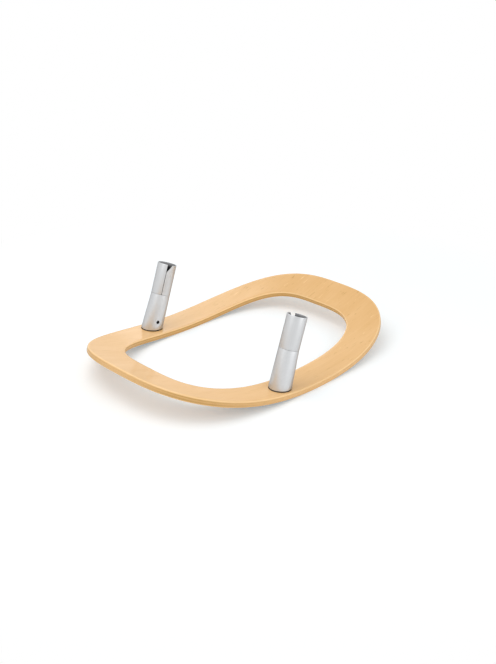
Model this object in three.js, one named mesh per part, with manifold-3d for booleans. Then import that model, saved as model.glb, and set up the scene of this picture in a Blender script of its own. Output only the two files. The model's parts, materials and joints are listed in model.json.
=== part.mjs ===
// Rocking base: a bent plywood ring that rocks on the floor, with a leaning post at each side.
// Each post is a cast foot over a core that is screwed on from below, with a split sleeve above.
// The sleeves take the two tube ends of the seat that the base carries.
// Units are millimetres and degrees. X runs across, +Y to the back and +Z up.
// The origin is on the floor, under the middle of the ring.

import * as THREE from 'three';
import { mergeVertices } from 'three/addons/utils/BufferGeometryUtils.js';
import Module from 'manifold-3d';

const wasm = await Module();
wasm.setup();

// Clearances
const fitGap = 0.3; // between pieces that touch or slide
const overrun = 2; // how far a cutting shape reaches past what it cuts

// Ring: width, length and bands are seen from above
const ringWidth = 530;
const ringLength = 755;
const ringThickness = 15;
const sideBand = 83.5;
const endBand = 89.5;
const bendRadius = 1057; // of the underside
const edgeRadius = 4;
const landLength = 84; // of the flat under the middle, on which the ring rests
const outerPower = 2.9; // 2 is an ellipse, and more is squarer
const innerPower = 3.4;
const stepsAround = 112;
const stepsAcross = 4;
const stepsPerEdge = 3;

// Posts
const postInset = 41.5; // from the ring's side to the post's middle, on the wood
const postForward = 93; // from the middle of the ring to the posts, to the front
const postLean = 18.5; // to the back, from upright
const postHeight = 172.5; // from the wood to the rim, along the post
const roundSteps = 48; // sides of a round piece
const holeSteps = 24; // sides of a screw or hole
const keySides = 6; // of a hex socket
const halfTurn = 180;

// Sleeve
const sleeveDiameter = 48;
const sleeveLength = 78.5;
const sleeveWall = 2.5;
const rimRound = 0.8;
const rimSteps = 2; // of the rounding
const mouthBevel = 0.4; // inside the rim
const slitWidth = 1.2;
const slitTurn = -37; // of the left sleeve's slit, from inward, and to the back where it is more
const notchWidth = 12.5; // at the rim
const notchDepth = 20;

// Foot
const footDiameter = 53.8; // on the wood
const footShift = 3.3; // how far the foot's middle lies outside the post's, on the wood
const seamBevel = 0.6;

// Core
const blockHeight = 34;
const neckDiameter = 26;
const collarLength = 30;
const spigotLength = 20; // how far the collar reaches up into the sleeve
const coreBevel = 1.5;

// Gasket
const gasketThickness = 2;
const gasketInset = 0.3;

// Screws from below
const screwDiameter = 6;
const screwLength = 25;
const screwHeadDiameter = 12;
const screwSpacing = 26;
const screwKey = 4; // across the flats
const screwKeyDepth = 2.6;
const screwHoleEnd = 2; // free depth past the screw's tip

// Lock screw
const lockDiameter = 8;
const lockLength = 12;
const lockHeight = 22.5; // above the wood, along the post
const lockTurn = -19; // from inward, and to the back where it is more
const lockSunk = 2.2; // below the foot's surface
const lockKey = 4; // across the flats
const lockKeyDepth = 5;
const lockBevel = 0.8;

// What follows from these sizes
const midRadius = bendRadius - ringThickness / 2;
const topRadius = bendRadius - ringThickness;
const landDepth = bendRadius - Math.sqrt(bendRadius ** 2 - (landLength / 2) ** 2);
const bendCentre = bendRadius - landDepth;
const wallReach = ringThickness / 2 - edgeRadius;
const outerHalf = {
  x: ringWidth / 2,
  y: ringLength / 2 / (1 + wallReach / midRadius),
};
const innerHalf = { x: outerHalf.x - sideBand, y: outerHalf.y - endBand };
const seatY = -postForward;
const seatTilt = THREE.MathUtils.radToDeg(Math.asin(postForward / topRadius));
const leanOnSeat = postLean - seatTilt;
const seatHeight = bendCentre - Math.sqrt(topRadius ** 2 - seatY ** 2);
const seatHollow = topRadius - Math.sqrt(topRadius ** 2 - (footDiameter / 2) ** 2);
const gasketBase = seatHollow + fitGap;
const gasketTop = gasketBase + gasketThickness;
const footBase = gasketTop + fitGap;
const seamHeight = postHeight - sleeveLength;
const boreRadius = sleeveDiameter / 2 - sleeveWall;
const coreRadius = boreRadius - fitGap;
const collarTop = seamHeight + spigotLength;
const screwHead = (screwHeadDiameter - screwDiameter) / 2;
const screwBase = fitGap - ringThickness;

// Colours and finishes
const wood = { color: '#efcd98', roughness: 0.45, metalness: 0 };
const satinMetal = { color: '#cfcfd0', roughness: 0.35, metalness: 0.9 };
const turnedMetal = { color: '#a9abad', roughness: 0.5, metalness: 0.9 };
const plating = { color: '#b9bcc0', roughness: 0.4, metalness: 1 };
const blackSteel = { color: '#2b2c2e', roughness: 0.55, metalness: 0.6 };
const rubber = { color: '#1c1c1c', roughness: 0.85, metalness: 0 };

// Helpers: a closed geometry becomes a solid to cut, and a solid becomes a named mesh
function solid(geometry, matrix = new THREE.Matrix4()) {
  const plain = geometry.clone().applyMatrix4(matrix);
  plain.deleteAttribute('normal');
  plain.deleteAttribute('uv');
  const merged = mergeVertices(plain);
  return new wasm.Manifold(new wasm.Mesh({
    numProp: merged.attributes.position.itemSize,
    vertProperties: new Float32Array(merged.attributes.position.array),
    triVerts: new Uint32Array(merged.index.array),
  }));
}

function named(name, shape, finish) {
  const cut = shape.getMesh();
  const geometry = new THREE.BufferGeometry();
  geometry.setAttribute('position', new THREE.BufferAttribute(cut.vertProperties, cut.numProp));
  geometry.setIndex(new THREE.BufferAttribute(cut.triVerts, 1));
  geometry.computeVertexNormals();
  const mesh = new THREE.Mesh(geometry, new THREE.MeshStandardMaterial(finish));
  mesh.name = name;
  return mesh;
}

function turned(outline, steps = roundSteps) {
  const points = outline.map(([radius, height]) => new THREE.Vector2(radius, height));
  const geometry = new THREE.LatheGeometry(points, steps);
  return geometry.rotateX(Math.PI / 2);
}

function moved({ x = 0, y = 0, z = 0, tilt = 0, turn = 0 }) {
  const turnBy = new THREE.Matrix4().makeRotationZ(THREE.MathUtils.degToRad(turn));
  const tiltBy = new THREE.Matrix4().makeRotationX(THREE.MathUtils.degToRad(-tilt));
  return new THREE.Matrix4().makeTranslation(x, y, z).multiply(tiltBy).multiply(turnBy);
}

function rightWayOut(geometry) {
  // A lathe outline drawn downwards comes out with its faces turned in
  const order = geometry.index.array;
  for (let i = 0; i < order.length; i += 3) {
    [order[i], order[i + 1]] = [order[i + 1], order[i]];
  }
  return geometry;
}

function rod(radius, length, steps = holeSteps) {
  // Centred, with its length along Z
  return new THREE.CylinderGeometry(radius, radius, length, steps).rotateX(Math.PI / 2);
}

function hexPrism(acrossFlats, length) {
  return rod(acrossFlats / Math.sqrt(3), length, keySides);
}

// Ring
function outlinePoint(half, power, angle) {
  const across = Math.cos(angle);
  const along = Math.sin(angle);
  const size = (Math.abs(across / half.x) ** power + Math.abs(along / half.y) ** power) ** (-1 / power);
  const point = new THREE.Vector2(across * size, along * size);
  const outward = new THREE.Vector2(
    Math.sign(across) * Math.abs(point.x / half.x) ** (power - 1) / half.x,
    Math.sign(along) * Math.abs(point.y / half.y) ** (power - 1) / half.y,
  ).normalize();
  return { point, outward };
}

function bent(plan, height) {
  // Puts a point of the flat sheet, a height above its middle layer, onto the bend
  const nearer = 1 - height / midRadius;
  const drop = Math.sqrt(midRadius ** 2 - plan.y ** 2);
  return new THREE.Vector3(plan.x, plan.y * nearer, Math.max(bendCentre - drop * nearer, 0));
}

function ringSection() {
  // One loop round the band: outer edge, top, inner edge, underside
  const loop = [];
  const corner = (share, side, fromFace) => {
    for (let i = 0; i <= stepsPerEdge; i += 1) {
      const turn = (fromFace ? i : stepsPerEdge - i) / stepsPerEdge * Math.PI / 2;
      const inset = edgeRadius * (1 - Math.sin(turn));
      const height = side * (ringThickness / 2 - edgeRadius * (1 - Math.cos(turn)));
      loop.push({ share, inset, height });
    }
  };
  const face = (side) => {
    for (let i = 1; i < stepsAcross; i += 1) {
      const share = side > 0 ? 1 - i / stepsAcross : i / stepsAcross;
      loop.push({ share, inset: edgeRadius, height: side * ringThickness / 2 });
    }
  };
  corner(1, -1, true);
  corner(1, 1, false);
  face(1);
  corner(0, 1, true);
  corner(0, -1, false);
  face(-1);
  return loop;
}

function ringBody() {
  const section = ringSection();
  const geometry = new THREE.TorusGeometry(1, 1, section.length, stepsAround);
  const position = geometry.attributes.position;
  const rowLength = stepsAround + 1;
  for (let i = 0; i < position.count; i += 1) {
    const at = section[Math.floor(i / rowLength) % section.length];
    const angle = (i % rowLength) % stepsAround / stepsAround * 2 * Math.PI;
    const outer = outlinePoint(outerHalf, outerPower, angle);
    const inner = outlinePoint(innerHalf, innerPower, angle);
    const outerPoint = outer.point.addScaledVector(outer.outward, -at.inset);
    const innerPoint = inner.point.addScaledVector(inner.outward, at.inset);
    const place = bent(innerPoint.lerp(outerPoint, at.share), at.height);
    position.setXYZ(i, place.x, place.y, place.z);
  }
  return solid(geometry);
}

function screwPlaces() {
  return [
    { name: 'front', y: -screwSpacing / 2 },
    { name: 'back', y: screwSpacing / 2 },
  ];
}

function screwHole(place) {
  // A clearance hole with its countersink, open below and above
  const hole = screwDiameter / 2 + fitGap;
  const mouth = screwHeadDiameter / 2 + fitGap;
  const wide = mouth + overrun;
  const outline = [
    [0, -ringThickness - overrun],
    [wide, -ringThickness - overrun],
    [hole, fitGap - ringThickness + mouth - hole],
    [hole, overrun],
    [0, overrun],
  ];
  return solid(turned(outline, holeSteps), place);
}

function rockerRing() {
  let body = ringBody();
  for (const side of [-1, 1]) {
    for (const { y } of screwPlaces()) {
      const place = seatMatrix(side).multiply(moved({ y }));
      body = body.subtract(screwHole(place));
    }
  }
  return named('rocker_ring', body, wood);
}

// The seat of a post is the spot on the wood, with its own Z square to the wood
function seatMatrix(side) {
  return moved({ x: side * (ringWidth / 2 - postInset), y: seatY, z: seatHeight, tilt: seatTilt });
}

function cutToSeat(shape, level) {
  // Takes away what lies under a level of the seat, from a shape placed along the post
  const size = ringWidth;
  const block = new THREE.BoxGeometry(size, size, size);
  const under = moved({ tilt: -leanOnSeat }).multiply(moved({ z: level - size / 2 }));
  return shape.subtract(solid(block, under));
}

function reachBelowSeat() {
  return footDiameter / 2 * Math.tan(THREE.MathUtils.degToRad(leanOnSeat)) + overrun;
}

// Foot, a leaning cone over the core
function footCone(inset, below, top) {
  // The cone's own sizes hold on the wood and at the seam, and it is drawn on past both
  const slope = (sleeveDiameter - footDiameter) / 2 / seamHeight;
  const radiusAt = (height) => footDiameter / 2 - inset + slope * height;
  const length = top - below;
  const geometry = new THREE.CylinderGeometry(radiusAt(top), radiusAt(below), length, roundSteps);
  geometry.rotateX(Math.PI / 2);
  geometry.translate(0, 0, below + length / 2);
  return geometry;
}

function shifted(geometry, side) {
  const position = geometry.attributes.position;
  for (let i = 0; i < position.count; i += 1) {
    const share = 1 - position.getZ(i) / seamHeight;
    position.setX(i, position.getX(i) + side * footShift * share);
  }
  return geometry;
}

function lockMatrix(side, radius) {
  // Z of the lock screw points out of the foot, to the inner side
  const turn = side < 0 ? lockTurn : halfTurn - lockTurn;
  const out = new THREE.Matrix4().makeRotationY(Math.PI / 2);
  return moved({ z: lockHeight, turn })
    .multiply(new THREE.Matrix4().makeTranslation(radius, 0, 0))
    .multiply(out);
}

function footRadiusAtLock(side) {
  const share = 1 - lockHeight / seamHeight;
  const radius = sleeveDiameter / 2 + (footDiameter - sleeveDiameter) / 2 * share;
  return radius - footShift * share * Math.cos(THREE.MathUtils.degToRad(lockTurn));
}

function foot(prefix, side) {
  const below = -reachBelowSeat();
  let body = solid(shifted(footCone(0, below, seamHeight - fitGap), side));
  const bevel = turned([
    [sleeveDiameter / 2 - seamBevel, seamHeight],
    [sleeveDiameter / 2 + overrun, seamHeight],
    [sleeveDiameter / 2 + overrun, seamHeight - seamBevel - fitGap - overrun],
    [sleeveDiameter / 2 - seamBevel, seamHeight],
  ]);
  body = body.subtract(solid(rightWayOut(bevel)));
  const bore = rod(boreRadius, seamHeight - below + 2 * overrun, roundSteps);
  bore.translate(0, 0, (seamHeight + below) / 2);
  body = body.subtract(solid(bore));
  const hole = rod(lockDiameter / 2 + fitGap, footDiameter / 2);
  body = body.subtract(solid(hole, lockMatrix(side, footDiameter / 2)));
  return named(`${prefix}_foot`, cutToSeat(body, footBase), satinMetal);
}

// Core, turned from bar: a block at the foot, a neck, and a collar that reaches into the sleeve
function core(prefix, side) {
  const neck = neckDiameter / 2;
  const collarBase = collarTop - collarLength;
  const outline = [
    [0, -reachBelowSeat()],
    [coreRadius, -reachBelowSeat()],
    [coreRadius, blockHeight - coreBevel],
    [coreRadius - coreBevel, blockHeight],
    [neck, blockHeight],
    [neck, collarBase],
    [coreRadius - coreBevel, collarBase],
    [coreRadius, collarBase + coreBevel],
    [coreRadius, collarTop - coreBevel],
    [coreRadius - coreBevel, collarTop],
    [0, collarTop],
  ];
  let body = solid(turned(outline));
  const reach = screwBase + screwLength + screwHoleEnd;
  const hole = rod(screwDiameter / 2 + fitGap, 2 * reach);
  for (const { y } of screwPlaces()) {
    body = body.subtract(solid(hole, moved({ tilt: -leanOnSeat }).multiply(moved({ y }))));
  }
  const lockHole = rod(lockDiameter / 2 + fitGap, lockLength);
  const holeMiddle = footRadiusAtLock(side) - lockSunk - fitGap - lockLength / 2;
  body = body.subtract(solid(lockHole, lockMatrix(side, holeMiddle)));
  return named(`${prefix}_post_core`, cutToSeat(body, footBase), turnedMetal);
}

// Sleeve, slit down its whole length, with a notch beside the slit that opens towards the rim
function sleeve(prefix, side) {
  const outer = sleeveDiameter / 2;
  const low = seamHeight;
  const outline = [
    [boreRadius, low],
    [outer - seamBevel, low],
    [outer, low + seamBevel],
    ...rimArc(outer),
    [boreRadius + mouthBevel, postHeight],
    [boreRadius, postHeight - mouthBevel],
    [boreRadius, low],
  ];
  let body = solid(turned(outline));
  const slit = new THREE.BoxGeometry(sleeveDiameter, slitWidth, sleeveLength + 2 * overrun);
  slit.translate(sleeveDiameter / 2, 0, low + sleeveLength / 2);
  const turn = side < 0 ? slitTurn : slitTurn + halfTurn;
  body = body.subtract(solid(slit, moved({ turn })));
  body = body.subtract(solid(notch(), moved({ turn })));
  return named(`${prefix}_sleeve`, body, satinMetal);
}

function rimArc(outer) {
  // The rounding of the rim's outer edge, from below
  const points = [];
  for (let i = 0; i <= rimSteps; i += 1) {
    const angle = i / rimSteps * Math.PI / 2;
    points.push([
      outer - rimRound * (1 - Math.cos(angle)),
      postHeight - rimRound * (1 - Math.sin(angle)),
    ]);
  }
  return points;
}

function notch() {
  // A wedge beside the slit, drawn on past the rim
  const spread = notchWidth * overrun / notchDepth;
  const shape = new THREE.Shape();
  shape.moveTo(0, -notchDepth);
  shape.lineTo(notchWidth + spread, overrun);
  shape.lineTo(0, overrun);
  shape.closePath();
  const geometry = new THREE.ExtrudeGeometry(shape, { depth: sleeveDiameter, bevelEnabled: false });
  const upright = new THREE.Matrix4().makeBasis(
    new THREE.Vector3(0, 1, 0), new THREE.Vector3(0, 0, 1), new THREE.Vector3(1, 0, 0),
  );
  return geometry.applyMatrix4(upright).translate(0, 0, postHeight);
}

// Gasket between the foot and the wood
function gasket(prefix, side) {
  const base = solid(shifted(footCone(gasketInset, -reachBelowSeat(), seamHeight), side));
  const level = moved({ tilt: -leanOnSeat });
  const slab = new THREE.BoxGeometry(2 * footDiameter, 2 * footDiameter, gasketThickness);
  const layer = solid(slab, level.clone().multiply(moved({ z: gasketBase + gasketThickness / 2 })));
  let body = base.intersect(layer);
  const hole = rod(screwDiameter / 2 + fitGap, 2 * footDiameter);
  for (const { y } of screwPlaces()) {
    body = body.subtract(solid(hole, level.clone().multiply(moved({ y }))));
  }
  return named(`${prefix}_foot_gasket`, body, rubber);
}

// Countersunk screw from below, placed on the seat
function ringScrew(prefix, place) {
  const radius = screwDiameter / 2;
  const outline = [
    [0, screwBase],
    [screwHeadDiameter / 2, screwBase],
    [radius, screwBase + screwHead],
    [radius, screwBase + screwLength],
    [0, screwBase + screwLength],
  ];
  const socket = hexPrism(screwKey, 2 * screwKeyDepth).translate(0, 0, screwBase);
  const body = solid(turned(outline, holeSteps)).subtract(solid(socket));
  const mesh = named(`${prefix}_${place.name}_ring_screw`, body, plating);
  mesh.position.y = place.y;
  return mesh;
}

// Lock screw, with no head, which holds the foot on the core
function lockScrew(prefix, side) {
  const radius = lockDiameter / 2;
  const outline = [
    [0, -lockLength],
    [radius - lockBevel, -lockLength],
    [radius, lockBevel - lockLength],
    [radius, -lockBevel],
    [radius - lockBevel, 0],
    [0, 0],
  ];
  const socket = hexPrism(lockKey, 2 * lockKeyDepth);
  const body = solid(turned(outline, holeSteps)).subtract(solid(socket));
  const mesh = named(`${prefix}_lock_screw`, body, blackSteel);
  mesh.applyMatrix4(lockMatrix(side, footRadiusAtLock(side) - lockSunk));
  return mesh;
}

function post(prefix, side) {
  const seat = new THREE.Group();
  seat.applyMatrix4(seatMatrix(side));
  for (const place of screwPlaces()) {
    seat.add(ringScrew(prefix, place));
  }
  const shaft = new THREE.Group();
  shaft.rotation.x = THREE.MathUtils.degToRad(-leanOnSeat);
  shaft.add(gasket(prefix, side));
  shaft.add(core(prefix, side));
  shaft.add(foot(prefix, side));
  shaft.add(sleeve(prefix, side));
  shaft.add(lockScrew(prefix, side));
  seat.add(shaft);
  return seat;
}

const rockingBase = new THREE.Group();
rockingBase.name = 'rocking_base';
rockingBase.add(rockerRing());
rockingBase.add(post('left', -1));
rockingBase.add(post('right', 1));

export default rockingBase;
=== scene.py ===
"""Rocking base: a bent plywood ring with a leaning metal post at each side.

The pieces are built round the CAD frame, in metres, with X across, +Y to the back and +Z up.
"""

import json
import math

import bmesh
import bpy
from mathutils import Matrix, Vector


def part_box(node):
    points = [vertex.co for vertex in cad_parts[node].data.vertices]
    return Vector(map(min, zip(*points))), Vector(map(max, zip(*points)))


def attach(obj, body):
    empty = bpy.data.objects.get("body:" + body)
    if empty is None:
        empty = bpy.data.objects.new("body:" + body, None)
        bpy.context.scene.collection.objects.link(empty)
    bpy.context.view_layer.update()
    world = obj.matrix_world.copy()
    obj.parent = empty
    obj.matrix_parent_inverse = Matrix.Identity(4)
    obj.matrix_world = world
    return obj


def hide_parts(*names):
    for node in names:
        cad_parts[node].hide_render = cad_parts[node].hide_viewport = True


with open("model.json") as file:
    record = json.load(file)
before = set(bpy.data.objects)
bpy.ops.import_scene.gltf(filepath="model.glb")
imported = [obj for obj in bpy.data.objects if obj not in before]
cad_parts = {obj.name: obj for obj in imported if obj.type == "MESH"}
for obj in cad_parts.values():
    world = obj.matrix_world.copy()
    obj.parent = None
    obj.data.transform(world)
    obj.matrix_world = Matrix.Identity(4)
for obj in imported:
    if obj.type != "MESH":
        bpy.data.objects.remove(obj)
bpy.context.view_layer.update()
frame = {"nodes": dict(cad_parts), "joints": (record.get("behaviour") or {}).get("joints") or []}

bl_info = {
    "name": "Rocking base",
    "version": (1, 0, 0),
    "blender": (4, 5, 0),
    "location": "View3D > Sidebar > Rocking base",
    "description": "Builds the ring, the posts and the stage of a rocking base",
    "category": "Add Mesh",
}

MM = 0.001
SIDES = (("left", -1), ("right", 1))
SLEEVE_JOINTS = {joint["name"]: joint for joint in frame["joints"]}

# Ring
_, RING_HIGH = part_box("rocker_ring")
THICKNESS = 15 * MM
BEND_RADIUS = 1057 * MM  # of the underside
LAND_LENGTH = 84 * MM  # of the flat that the ring rests on
SIDE_BAND = 83.5 * MM
END_BAND = 89.5 * MM
OUTER_POWER = 2.9  # 2 is an ellipse, and more is squarer
INNER_POWER = 3.4
RING_STEPS = 288
BAND_STEPS = 8
ROUND_STEPS = 4  # across a rounded edge
CORNER_ANGLE = math.radians(60)  # an edge of the wood that turns more than this is rounded
WOOD_ANGLE = math.radians(30)  # an edge of the wood that turns more than this looks sharp
MID_RADIUS = BEND_RADIUS - THICKNESS / 2
TOP_RADIUS = BEND_RADIUS - THICKNESS
LAND_DEPTH = BEND_RADIUS - math.sqrt(BEND_RADIUS**2 - (LAND_LENGTH / 2) ** 2)
BEND_CENTRE = BEND_RADIUS - LAND_DEPTH  # height above the floor

# Posts, with sizes along the post counted from the wood
FIT_GAP = 0.3 * MM
OVERRUN = 5 * MM  # how far a cutter reaches past what it cuts
TURNED_STEPS = 128
SHARP_ANGLE = math.radians(35)  # a metal edge that turns more than this is sharp
FINE_STEPS = 48  # round a small hole
POST_FORWARD = 93 * MM
SEAM_HEIGHT = 94 * MM
POST_HEIGHT = 172.5 * MM
SLEEVE_RADIUS = 48 / 2 * MM
SLEEVE_WALL = 2.5 * MM
SLIT_WIDTH = 1.2 * MM
SLIT_TURN = math.radians(-37)  # of the left sleeve, from inward and to the back
NOTCH_WIDTH = 12.5 * MM
NOTCH_DEPTH = 20 * MM
FOOT_RADIUS = 53.8 / 2 * MM
FOOT_SHIFT = 3.3 * MM  # outward, on the wood
FOOT_LIFT = 2.6 * MM  # of the foot above the wood's hollow, over the gasket
BELOW_SEAT = 15 * MM  # how far the foot and core are drawn below the wood before they are trimmed
BLOCK_HEIGHT = 34 * MM
NECK_RADIUS = 13 * MM
COLLAR_LENGTH = 30 * MM
SPIGOT_LENGTH = 20 * MM
CENTRE_HOLE = 5 * MM
BORE_RADIUS = SLEEVE_RADIUS - SLEEVE_WALL
BORE_SHADE_FADE = 12 * MM  # how far down from the rim the painted shade in the bore lightens
CORE_RADIUS = BORE_RADIUS - FIT_GAP
SCREW_RADIUS = 3 * MM
SCREW_HEAD_RADIUS = 6 * MM
SCREW_SPACING = 26 * MM
SCREW_REACH = 12.3 * MM  # up into the core
CORE_ROUNDING = 1.5 * MM
ARC_STEPS = 3  # of a rounded corner
KNIFE_SLACK = 0.001 * MM  # how near a point counts as on the plane of a cut
LOCK_RADIUS = 4 * MM
LOCK_HEIGHT = 22.5 * MM
LOCK_TURN = math.radians(-19)  # of the left foot's hole, from inward and to the back
LOCK_CHAMFER = 0.5 * MM
SEAT_TILT = math.asin(POST_FORWARD / TOP_RADIUS)
SEAT_HOLLOW = TOP_RADIUS - math.sqrt(TOP_RADIUS**2 - FOOT_RADIUS**2)
SEAT_LEVEL = SEAT_HOLLOW + FOOT_LIFT  # where the foot and the core end, above the wood

# Plywood, with how fine each pattern is across the grain, along it and into the wood, per metre
STREAKS = (260.0, 5.0, 60.0)
FIBRES = (1500.0, 40.0, 300.0)
FIGURE = (22.0, 6.0, 1.0)
FLECKS = (380.0, 24.0, 60.0)
STROKES = (150.0, 28.0, 60.0)
PORES = (900.0, 900.0, 900.0)
PLY_WAVES = (9.0, 9.0, 0.0)
PLY_UNEVENNESS = 0.35  # in plies
PLY_OFFSET = 3.7  # moves the grain on from each ply to the next
PLY_RHYTHM = 2 * math.pi / 4.3  # a darker ply comes every 4.3 plies
PLY_PHASE = -2.4  # where in that rhythm the top ply stands
FLECK_SHARE = 0.3
DARK_STROKE_SHARE = 0.4
PALE_STROKE_SHARE = 0.5
INNER_PAINTED_SHADE = 0.5  # how dark the edge inside the ring is made with painted shade, in the end grain's colour
GLUE_SHARE = 0.35
# how strong the painted highlight along the rounded edges is
EDGE_HIGHLIGHT_SHARE = 0.6
WOOD_ROUGHNESS = 0.40

# Metal and rubber, with how fine the lines are along X, Y and Z, per metre
CAST = {"fineness": (900.0, 900.0, 900.0), "rough": 0.42, "relief": 0.12}
BRUSHED = {"fineness": (1800.0, 1800.0, 30.0), "rough": 0.38, "relief": 0.12}
TURNED = {"fineness": (60.0, 60.0, 2500.0), "rough": 0.4, "relief": 0.3}
BLACK_STEEL = {"colour": (0.035, 0.035, 0.038), "metallic": 0.8, "rough": 0.4}
PLATED_STEEL = {"colour": (0.5, 0.51, 0.52), "metallic": 1.0, "rough": 0.3}
KEY_LINES = (2500.0, 2500.0, 900.0)
BROAD_LINES = (0.21, 0.21, 0.21)  # beside the fine ones
EDGE_TINT = (0.45, 0.45, 0.46, 1)  # of metal seen at a low angle
# Painted shade inside the bore: nearly black deep down, lighter near the rim
BORE_DEEP_SHADE = (0.04, 0.04, 0.042)
BORE_RIM_SHADE = (0.5, 0.5, 0.51)
CLEAN_RUBBER = (0.018, 0.017, 0.016)
DUSTY_RUBBER = (0.07, 0.065, 0.06)
RUBBER_GRAIN = 2600.0
RUBBER_ROUGHNESS = 0.72

# Floor
WHITE = (1, 1, 1, 1)
FLOOR_COLOUR = (0.9, 0.9, 0.9, 1)
FLOOR_NEAR = 0.55  # from here outward the floor turns plain white
FLOOR_FAR = 1.1  # and from here on it is
FLOOR_LIFT = 0.26  # so that the open floor is white
FLOOR_TINT = (0.95, 0.86, 0.81, 1)  # as the camera sees it, against the wood's warm light on it
FLOOR_GLOW = (0.25, 0.75, 1.0, 1)
NEUTRAL_GLOW = (0.5, 0.5, 0.5, 1)  # as metal and lacquer see it

# Camera, which stands where the photograph was taken from
CAMERA_TURN = math.radians(44.83)  # from the front to the right
CAMERA_RISE = math.radians(24.83)
CAMERA_ROLL = math.radians(0.67)
CAMERA_DISTANCE = 2.404
CAMERA_TARGET = Vector((0.0091, 0.0210, 0.0492))
CAMERA_LENS = 52.53
PICTURE_HEIGHT = 36  # in millimetres, as the lens


class RingSettings(bpy.types.PropertyGroup):
    """Sizes and colours of the plywood ring."""

    rounding: bpy.props.FloatProperty(
        name="Edge rounding",
        description="Radius along the edges of the wood",
        default=4 * MM,
        min=0.5 * MM,
        max=6 * MM,
        unit="LENGTH",
    )
    plies: bpy.props.IntProperty(
        name="Plies",
        description="Odd number of layers, so that both faces have their grain along the ring",
        default=11,
        min=3,
        max=15,
    )
    light: bpy.props.FloatVectorProperty(
        name="Light wood",
        description="Colour of the light grain",
        default=(0.87, 0.55, 0.257),
        subtype="COLOR",
    )
    deep: bpy.props.FloatVectorProperty(
        name="Deep wood",
        description="Colour of the deep grain",
        default=(0.795, 0.476, 0.192),
        subtype="COLOR",
    )
    # Painted highlight along the rounded edges, and the colour of the pale strokes in the grain
    pale_grain_and_highlight: bpy.props.FloatVectorProperty(
        name="Arris",
        description="Colour of the sanded corners, where the lacquer is thin",
        default=(1.0, 0.70, 0.36),
        subtype="COLOR",
    )
    end_grain: bpy.props.FloatVectorProperty(
        name="End grain",
        description="Colour of the cut ends of the fibres on the edge",
        default=(0.50, 0.265, 0.045),
        subtype="COLOR",
    )


class PostSettings(bpy.types.PropertyGroup):
    """Colours and edges of the posts."""

    sleeve_metal: bpy.props.FloatVectorProperty(
        name="Sleeve metal",
        description="Colour of the brushed tubes",
        default=(0.645, 0.655, 0.665),
        subtype="COLOR",
    )
    foot_metal: bpy.props.FloatVectorProperty(
        name="Foot metal",
        description="Colour of the cast feet, which is a little lighter",
        default=(0.65, 0.662, 0.674),
        subtype="COLOR",
    )
    core_metal: bpy.props.FloatVectorProperty(
        name="Core metal",
        description="Colour of the turned metal inside the posts",
        default=(0.30, 0.30, 0.31),
        subtype="COLOR",
    )
    edge: bpy.props.FloatProperty(
        name="Edge rounding",
        description="Radius along the metal's edges",
        default=0.55 * MM,
        min=0.1 * MM,
        max=1 * MM,
        unit="LENGTH",
    )


class StageSettings(bpy.types.PropertyGroup):
    """Floor and light."""

    floor_size: bpy.props.FloatProperty(
        name="Floor size",
        description="Side of the square floor",
        default=40.0,
        min=2.0,
        unit="LENGTH",
    )
    ambient: bpy.props.FloatProperty(
        name="Ambient light",
        description="Strength of the even light from all sides",
        default=0.70,
        min=0.0,
        max=1.0,
    )


# Helpers for modelling


def deselect():
    """Leaves edit mode with nothing selected."""
    if bpy.context.mode != "OBJECT":
        bpy.ops.object.mode_set(mode="OBJECT")
    bpy.ops.object.select_all(action="DESELECT")


def pick(piece):
    """Makes one piece the only selected and the active one."""
    deselect()
    piece.select_set(True)
    bpy.context.view_layer.objects.active = piece


def edit_all(piece):
    """Opens a piece in edit mode with all of it selected."""
    pick(piece)
    bpy.ops.object.mode_set(mode="EDIT")
    bpy.ops.mesh.select_all(action="SELECT")


def slice_at(piece, point, normal, **choices):
    """Opens a piece in edit mode and cuts it along a plane."""
    edit_all(piece)
    bpy.ops.mesh.bisect(plane_co=point, plane_no=normal, threshold=KNIFE_SLACK, **choices)


def face_outward():
    """Turns all faces outward and leaves edit mode."""
    bpy.ops.mesh.select_all(action="SELECT")
    bpy.ops.mesh.normals_make_consistent(inside=False)
    bpy.ops.object.mode_set(mode="OBJECT")


def smooth(piece, angle=SHARP_ANGLE):
    """Shades a piece smoothly, except at its sharp edges."""
    pick(piece)
    bpy.ops.object.shade_smooth_by_angle(angle=angle)


def settle(piece, matrix=None):
    """Puts a piece's place into its mesh, so that the object stays at the origin."""
    pick(piece)
    if matrix is not None:
        piece.matrix_world = matrix
    bpy.ops.object.transform_apply(location=True, rotation=True, scale=True)
    return piece


def start(name, piece):
    """Names a new primitive."""
    piece.name = name
    piece.data.name = name
    return piece


def finish_modifier(piece, kind, **values):
    """Adds a modifier with these values and applies it."""
    pick(piece)
    modifier = piece.modifiers.new(kind.title(), kind)
    for key, value in values.items():
        setattr(modifier, key, value)
    bpy.ops.object.modifier_apply(modifier=modifier.name)


def remove(piece):
    """Deletes a helper object together with its mesh."""
    mesh = piece.data
    bpy.data.objects.remove(piece)
    bpy.data.meshes.remove(mesh)


def cut(piece, cutter):
    """Takes the cutter's shape out of the piece and deletes the cutter."""
    finish_modifier(piece, "BOOLEAN", operation="DIFFERENCE", solver="EXACT", object=cutter)
    remove(cutter)


def soften(piece, width):
    """Rounds the sharp edges."""
    finish_modifier(
        piece,
        "BEVEL",
        width=width,
        segments=ARC_STEPS,
        limit_method="ANGLE",
        angle_limit=SHARP_ANGLE,
        miter_outer="MITER_ARC",
    )


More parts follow.
